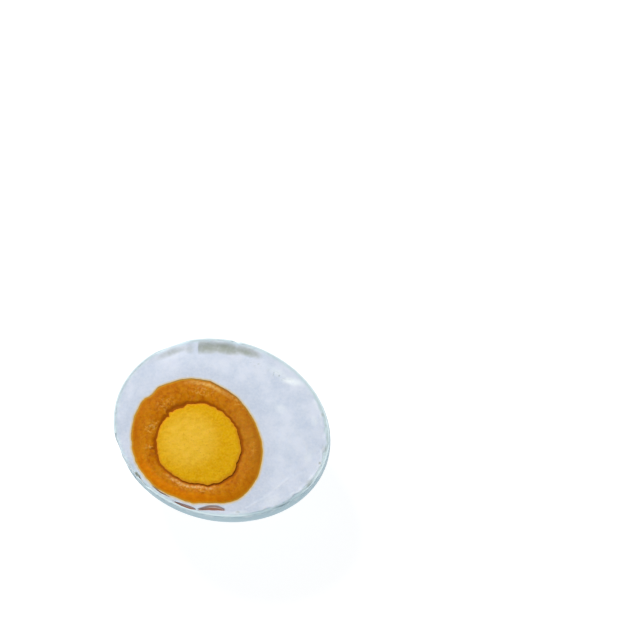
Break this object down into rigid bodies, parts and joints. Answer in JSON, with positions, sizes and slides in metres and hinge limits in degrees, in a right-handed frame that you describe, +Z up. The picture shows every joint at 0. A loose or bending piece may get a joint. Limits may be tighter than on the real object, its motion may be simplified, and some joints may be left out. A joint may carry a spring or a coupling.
{
  "type": "salted duck egg half",
  "caption": "Half of a salted duck egg, cut lengthwise in its pale blue-green eggshell: firm white round a yolk with an orange outer layer and a yellow core.",
  "frame": {"origin": "on the ground under the middle of the egg, on the flat spot of its rounded back", "axes": "+X along the egg's length towards its pointed end, +Z up, square to the cut face"},
  "size_m": [0.0575, 0.0474, 0.0269],
  "materials": {
    "eggshell": "matte",
    "egg_white": "satin",
    "yolk_orange": "satin",
    "yolk_yellow": "matte"
  },
  "bodies": {
    "root": {"eggshell": "eggshell", "egg_white": "egg_white", "yolk_outer_layer": "yolk_orange", "yolk_core": "yolk_yellow"}
  },
  "joints": []
}
